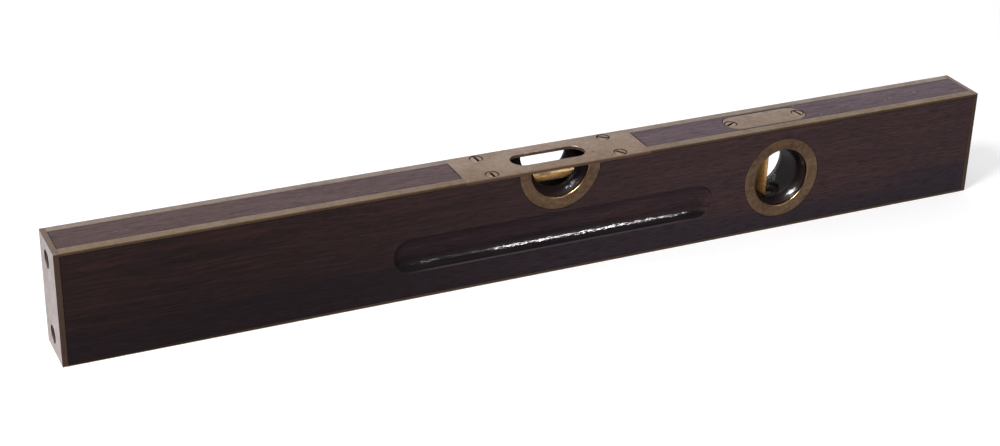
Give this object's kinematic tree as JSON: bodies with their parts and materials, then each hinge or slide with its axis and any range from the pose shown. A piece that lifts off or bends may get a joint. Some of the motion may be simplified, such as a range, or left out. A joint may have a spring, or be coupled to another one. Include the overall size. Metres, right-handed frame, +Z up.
{
  "type": "plumb and level",
  "caption": "Brass bound hardwood plumb and level with a level vial under a slotted top plate, a plumb vial across a round sight hole, and finger grooves along both faces.",
  "frame": {"origin": "middle of the base, on the plane that the level rests on", "axes": "+X along the length towards the plumb vial, +Y from the front face to the back face, +Z up from the base"},
  "size_m": [0.4572, 0.0254, 0.053],
  "materials": {
    "stock_wood": "dark oiled and polished hardwood",
    "old_brass": "dull, browned with age",
    "ring_brass": "dark bronzed brass",
    "screw_brass": "dull brass with dark slots",
    "inner_brass": "plain brass, kept clean inside the stock",
    "case_brass": "bright golden sheet brass",
    "spring_wire": "drawn brass wire",
    "vial_glass": "clear",
    "spirit": "clear, faintly tinted",
    "bubble": "clear",
    "plaster": "matt plaster of Paris"
  },
  "bodies": {
    "body": {"stock": "stock_wood", "top_strip_front_left": "old_brass", "top_strip_front_right": "old_brass", "top_strip_back_left": "old_brass", "top_strip_back_right": "old_brass", "bottom_strip_front": "old_brass", "bottom_strip_back": "old_brass", "left_end_plate": "old_brass", "right_end_plate": "old_brass", "end_plate_screws": "screw_brass", "level_top_plate": "old_brass", "top_plate_screws": "screw_brass", "window_ring_front": "ring_brass", "window_ring_back": "ring_brass", "plumb_ring_front": "ring_brass", "plumb_ring_back": "ring_brass", "plumb_cover_plate": "old_brass", "plumb_cover_screws": "screw_brass", "level_hinge_bracket": "inner_brass", "level_adjuster_bracket": "inner_brass", "level_bracket_screws": "screw_brass", "level_hinge_pin": "inner_brass", "level_adjusting_spring": "spring_wire", "plumb_bracket": "inner_brass", "plumb_bracket_screws": "screw_brass", "plumb_pivot_pin": "inner_brass", "plumb_adjusting_spring": "spring_wire"},
    "level_screw": {"level_adjusting_screw": "screw_brass"},
    "level_case": {"level_vial_case": "case_brass", "level_vial_glass": "vial_glass", "level_vial_bedding": "plaster", "level_spirit": "spirit"},
    "level_air": {"level_bubble": "bubble"},
    "plumb_screw": {"plumb_adjusting_screw": "screw_brass"},
    "plumb_case": {"plumb_vial_case": "case_brass", "plumb_vial_glass": "vial_glass", "plumb_vial_bedding": "plaster", "plumb_spirit": "spirit"},
    "plumb_air": {"plumb_bubble": "bubble"}
  },
  "joints": [
    {"name": "level_screw_turn", "type": "hinge", "parent": "body", "child": "level_screw", "pos_m": [0.04, 0, 0.05], "axis": [0, 0, 1], "range_deg": [-450, 450]},
    {"name": "level_tilt", "type": "hinge", "parent": "body", "child": "level_case", "pos_m": [-0.04, 0, 0.0458], "axis": [0, 1, 0], "range_deg": [-0.447, 0.447], "deforming": ["level_adjusting_spring"]},
    {"name": "level_bubble_slide", "type": "slide", "parent": "level_case", "child": "level_air", "axis": [1, 0, 0], "range_m": [-0.0235, 0.0235], "stiffness_N_per_m": 0.2},
    {"name": "plumb_screw_turn", "type": "hinge", "parent": "body", "child": "plumb_screw", "pos_m": [0.1066, 0, 0.05], "axis": [0, 0, 1], "range_deg": [-150, 150]},
    {"name": "plumb_tilt", "type": "hinge", "parent": "body", "child": "plumb_case", "pos_m": [0.1181, 0, 0.0464], "axis": [0, 1, 0], "range_deg": [-1.04, 1.04], "deforming": ["plumb_adjusting_spring"]},
    {"name": "plumb_bubble_slide", "type": "slide", "parent": "plumb_case", "child": "plumb_air", "axis": [0, 0, 1], "range_m": [-0.0146, 0], "stiffness_N_per_m": 1, "springref_m": 0.01}
  ],
  "couplings": [
    {"joint": "level_screw_turn", "follows": "level_tilt", "ratio": 1005.3},
    {"joint": "plumb_screw_turn", "follows": "plumb_tilt", "ratio": -144.51}
  ]
}
